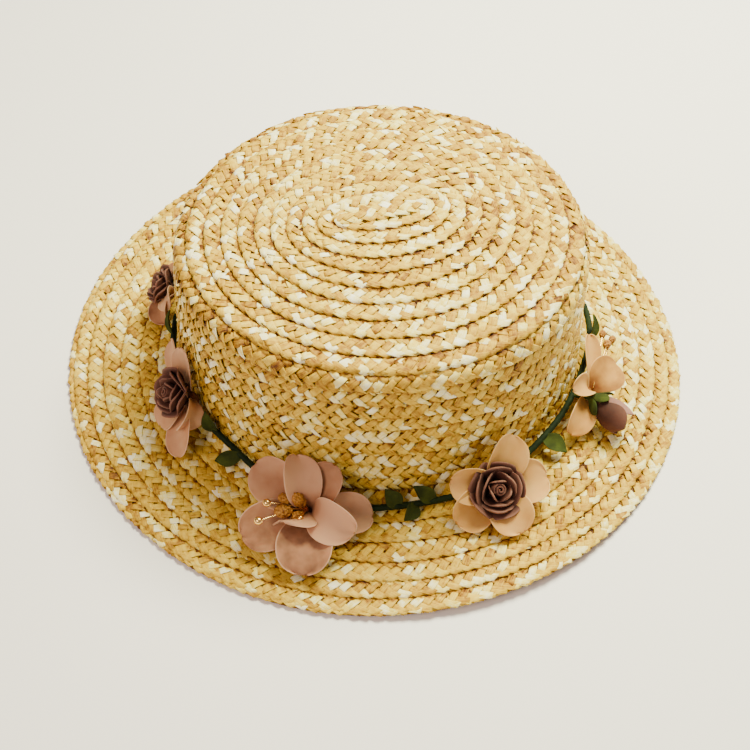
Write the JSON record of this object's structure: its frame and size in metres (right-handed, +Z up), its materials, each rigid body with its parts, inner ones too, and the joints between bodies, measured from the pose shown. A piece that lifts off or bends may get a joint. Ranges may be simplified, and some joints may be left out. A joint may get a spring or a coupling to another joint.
{
  "type": "boater hat",
  "caption": "Flat-topped straw boater hat of sewn plaited braid with a stiff round brim and a garland of foam flowers, leaves and a wire stem round the crown.",
  "frame": {"origin": "middle of the brim's outline on the plane that the brim rests on", "axes": "+Z up through the crown, +X along the crown's long axis, -Y the side with the open flower and the largest rose"},
  "size_m": [0.3036, 0.3076, 0.0891],
  "materials": {
    "straw": "semi-matt plaited wheat straw, each straw its own shade from cream to ochre",
    "taped_wire": "dark green floral tape wound round a wire",
    "leaf_fabric": "matt olive green fabric",
    "petal_foam": "matt soft foam sheet, tan to peach",
    "pink_petal_foam": "matt soft foam sheet, dusty pink",
    "rose_foam": "matt soft foam sheet, mauve brown",
    "gold_bead": "polished gold beads and gold glitter pips"
  },
  "bodies": {
    "root": {"crown_tip": "straw", "crown_side": "straw", "brim": "straw", "stem": "taped_wire", "petals_far_left": "petal_foam", "petals_left": "petal_foam", "petals_front_left": "pink_petal_foam", "petals_front_right": "petal_foam", "petals_right": "petal_foam", "rose_far_left": "rose_foam", "rose_left": "rose_foam", "rose_front_right": "rose_foam", "bud_right": "rose_foam", "stamens_front_left": "gold_bead", "stamens_right": "gold_bead", "calyx_right": "leaf_fabric", "leaf_1": "leaf_fabric", "leaf_2": "leaf_fabric", "leaf_3": "leaf_fabric", "leaf_4": "leaf_fabric", "leaf_5": "leaf_fabric", "leaf_6": "leaf_fabric", "leaf_7": "leaf_fabric", "leaf_8": "leaf_fabric", "leaf_9": "leaf_fabric", "leaf_10": "leaf_fabric", "leaf_11": "leaf_fabric", "leaf_12": "leaf_fabric"}
  },
  "joints": []
}
